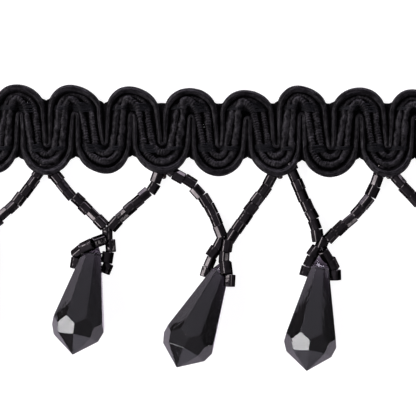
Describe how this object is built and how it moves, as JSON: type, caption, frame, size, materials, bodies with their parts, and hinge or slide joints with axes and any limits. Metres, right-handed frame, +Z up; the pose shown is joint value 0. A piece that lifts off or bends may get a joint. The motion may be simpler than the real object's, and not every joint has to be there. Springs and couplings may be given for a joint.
{
  "type": "beaded fringe trim",
  "caption": "Black beaded fringe trim lying flat: a scroll gimp braid heading with crossing swags of cut beads, each swag looped round a faceted teardrop drop.",
  "frame": {"origin": "middle of the underside, on the surface that the trim lies on", "axes": "+X along the trim, +Y across it from the drops' points to the heading, +Z up out of the face"},
  "size_m": [0.11, 0.0498, 0.0089],
  "materials": {
    "gimp_cord": "satin wound cord",
    "binding_thread": "fine matt thread with a blue cast",
    "cut_bead": "opaque black cut glass, polished facets",
    "drop": "smoky black moulded facets, polished"
  },
  "bodies": {
    "root": {"gimp_cord_upper": "gimp_cord", "gimp_cord_inner_upper": "gimp_cord", "gimp_cord_inner_lower": "gimp_cord", "gimp_cord_lower": "gimp_cord", "binding_row_upper": "binding_thread", "binding_row_lower": "binding_thread", "drop_1": "drop", "drop_2": "drop", "drop_3": "drop", "drop_4": "drop", "drop_5": "drop", "bead_strand_1_left": "cut_bead", "bead_strand_1_right": "cut_bead", "bead_strand_2_left": "cut_bead", "bead_strand_2_right": "cut_bead", "bead_strand_3_left": "cut_bead", "bead_strand_3_right": "cut_bead", "bead_strand_4_left": "cut_bead", "bead_strand_4_right": "cut_bead", "bead_strand_5_left": "cut_bead", "bead_strand_5_right": "cut_bead"}
  },
  "joints": []
}
